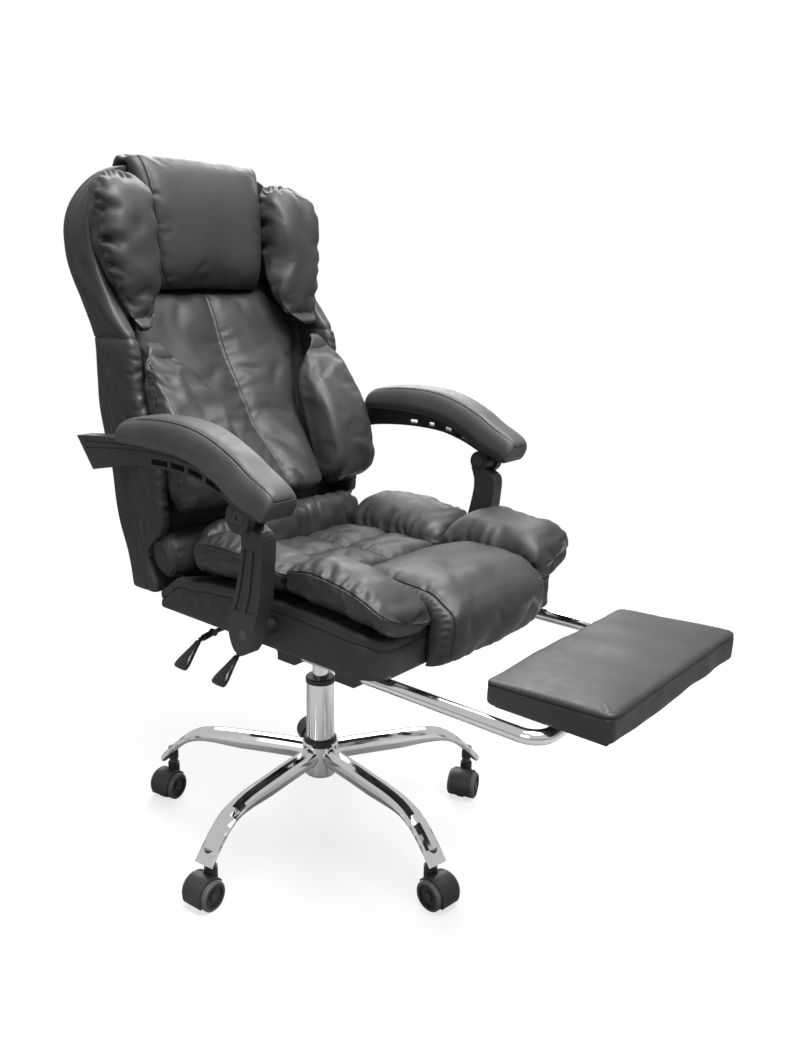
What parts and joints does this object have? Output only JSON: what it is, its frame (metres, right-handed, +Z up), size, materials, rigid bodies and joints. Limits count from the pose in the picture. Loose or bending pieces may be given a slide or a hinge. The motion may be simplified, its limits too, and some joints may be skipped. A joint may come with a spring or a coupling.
{
  "type": "reclining office chair with footrest",
  "caption": "Padded high-backed office chair that reclines with its linked armrests, with a slide-out footrest, gas lift and a star base on casters.",
  "frame": {"origin": "on the floor under the swivel axis", "axes": "+Z up, the sitter faces -Y, +X is on the sitter's left"},
  "size_m": [0.6623, 1.0085, 1.1801],
  "materials": {
    "chrome": "polished chrome plating",
    "black_plastic": "fine-grained moulded plastic",
    "tread": "soft grey polyurethane tread",
    "steel": "plain steel",
    "black_steel": "satin black powder coat",
    "board": "board covered in black fabric",
    "leather": "grained black imitation leather, soft sheen",
    "paddle": "glossy black plastic"
  },
  "bodies": {
    "base": {"base_hub": "chrome", "base_legs": "chrome", "stem_sockets": "black_plastic", "base_collar": "black_plastic", "column_tube": "chrome", "column_cap": "black_plastic"},
    "caster_1": {"caster_hood_1": "black_plastic", "caster_stem_1": "steel"},
    "wheels_1": {"caster_wheels_1": "black_plastic", "caster_treads_1": "tread"},
    "caster_2": {"caster_hood_2": "black_plastic", "caster_stem_2": "steel"},
    "wheels_2": {"caster_wheels_2": "black_plastic", "caster_treads_2": "tread"},
    "caster_3": {"caster_hood_3": "black_plastic", "caster_stem_3": "steel"},
    "wheels_3": {"caster_wheels_3": "black_plastic", "caster_treads_3": "tread"},
    "caster_4": {"caster_hood_4": "black_plastic", "caster_stem_4": "steel"},
    "wheels_4": {"caster_wheels_4": "black_plastic", "caster_treads_4": "tread"},
    "caster_5": {"caster_hood_5": "black_plastic", "caster_stem_5": "steel"},
    "wheels_5": {"caster_wheels_5": "black_plastic", "caster_treads_5": "tread"},
    "lift": {"lift_rod": "chrome"},
    "seat": {"tilt_plate": "black_steel", "seat_base": "leather", "seat_cushion": "leather", "seat_bolster_left": "leather", "seat_bolster_right": "leather", "seat_front_panel": "leather", "rail_guides": "black_plastic", "hinge_brackets": "black_steel", "arm_bolts": "steel"},
    "back": {"back_shell": "leather", "back_cushion": "leather", "lumbar_left": "leather", "lumbar_right": "leather", "wing_left": "leather", "wing_right": "leather", "head_pillow": "leather", "back_roll": "leather", "back_pivots": "steel"},
    "arm_link_left": {"arm_upright_left": "black_plastic"},
    "arm_left": {"arm_beam_left": "black_plastic", "arm_pad_left": "leather", "arm_cap_left": "steel"},
    "arm_link_right": {"arm_upright_right": "black_plastic"},
    "arm_right": {"arm_beam_right": "black_plastic", "arm_pad_right": "leather", "arm_cap_right": "steel"},
    "footrest_frame": {"footrest_tube": "chrome"},
    "footrest": {"footrest_board": "board", "footrest_pad": "leather"},
    "height_control": {"height_lever": "black_steel", "height_paddle": "paddle"},
    "recline_control": {"recline_lever": "black_steel", "recline_paddle": "paddle"}
  },
  "joints": [
    {"name": "caster_swivel_1", "type": "hinge", "parent": "base", "child": "caster_1", "pos_m": [-0.12963, 0.27055, 0.08], "axis": [0, 0, 1], "continuous": true},
    {"name": "wheel_roll_1", "type": "hinge", "parent": "caster_1", "child": "wheels_1", "pos_m": [-0.14723, 0.26681, 0.025], "axis": [0.2079, -0.9781, 0], "continuous": true},
    {"name": "caster_swivel_2", "type": "hinge", "parent": "base", "child": "caster_2", "pos_m": [-0.29736, -0.03968, 0.08], "axis": [0, 0, 1], "continuous": true},
    {"name": "wheel_roll_2", "type": "hinge", "parent": "caster_2", "child": "wheels_2", "pos_m": [-0.3153, -0.04125, 0.025], "axis": [0.0872, -0.9962, 0], "continuous": true},
    {"name": "caster_swivel_3", "type": "hinge", "parent": "base", "child": "caster_3", "pos_m": [-0.05416, -0.29507, 0.08], "axis": [0, 0, 1], "continuous": true},
    {"name": "wheel_roll_3", "type": "hinge", "parent": "caster_3", "child": "wheels_3", "pos_m": [-0.05604, -0.31297, 0.025], "axis": [0.9945, -0.1045, 0], "continuous": true},
    {"name": "caster_swivel_4", "type": "hinge", "parent": "base", "child": "caster_4", "pos_m": [0.26389, -0.14269, 0.08], "axis": [0, 0, 1], "continuous": true},
    {"name": "wheel_roll_4", "type": "hinge", "parent": "caster_4", "child": "wheels_4", "pos_m": [0.24698, -0.14884, 0.025], "axis": [0.342, -0.9397, 0], "continuous": true},
    {"name": "caster_swivel_5", "type": "hinge", "parent": "base", "child": "caster_5", "pos_m": [0.21725, 0.20689, 0.08], "axis": [0, 0, 1], "continuous": true},
    {"name": "wheel_roll_5", "type": "hinge", "parent": "caster_5", "child": "wheels_5", "pos_m": [0.20166, 0.21589, 0.025], "axis": [-0.5, -0.866, 0], "continuous": true},
    {"name": "lift_slide", "type": "slide", "parent": "base", "child": "lift", "axis": [0, 0, 1], "range_m": [-0.1, 0]},
    {"name": "seat_swivel", "type": "hinge", "parent": "lift", "child": "seat", "pos_m": [0, 0, 0.44], "axis": [0, 0, 1], "continuous": true},
    {"name": "back_recline", "type": "hinge", "parent": "seat", "child": "back", "pos_m": [0, 0.2, 0.522], "axis": [-1, 0, 0], "range_deg": [0, 35]},
    {"name": "arm_swing_left", "type": "hinge", "parent": "seat", "child": "arm_link_left", "pos_m": [0.2837, -0.128, 0.478], "axis": [-1, 0, 0], "range_deg": [0, 35]},
    {"name": "arm_level_left", "type": "hinge", "parent": "arm_link_left", "child": "arm_left", "pos_m": [0.297, -0.13729, 0.65526], "axis": [-1, 0, 0], "range_deg": [-35, 0]},
    {"name": "arm_swing_right", "type": "hinge", "parent": "seat", "child": "arm_link_right", "pos_m": [-0.2837, -0.128, 0.478], "axis": [-1, 0, 0], "range_deg": [0, 35]},
    {"name": "arm_level_right", "type": "hinge", "parent": "arm_link_right", "child": "arm_right", "pos_m": [-0.297, -0.13729, 0.65526], "axis": [-1, 0, 0], "range_deg": [-35, 0]},
    {"name": "footrest_slide", "type": "slide", "parent": "seat", "child": "footrest_frame", "axis": [0, 1, 0], "range_m": [0, 0.25]},
    {"name": "footrest_flip", "type": "hinge", "parent": "footrest_frame", "child": "footrest", "pos_m": [0, -0.555, 0.428], "axis": [1, 0, 0], "range_deg": [0, 180]},
    {"name": "height_lever_lift", "type": "hinge", "parent": "seat", "child": "height_control", "pos_m": [-0.068, -0.028, 0.409], "axis": [0, 1, 0], "range_deg": [0, 4], "stiffness_Nm_per_rad": 6, "springref_deg": -2.86},
    {"name": "recline_lever_lift", "type": "hinge", "parent": "seat", "child": "recline_control", "pos_m": [-0.068, 0.066, 0.409], "axis": [0, 1, 0], "range_deg": [0, 4], "stiffness_Nm_per_rad": 6, "springref_deg": -2.86}
  ],
  "couplings": [
    {"joint": "arm_swing_left", "follows": "back_recline", "ratio": 1},
    {"joint": "arm_level_left", "follows": "back_recline", "ratio": -1},
    {"joint": "arm_swing_right", "follows": "back_recline", "ratio": 1},
    {"joint": "arm_level_right", "follows": "back_recline", "ratio": -1},
    {"joint": "footrest_flip", "follows": "footrest_slide", "rad_per_m": 12.566}
  ]
}
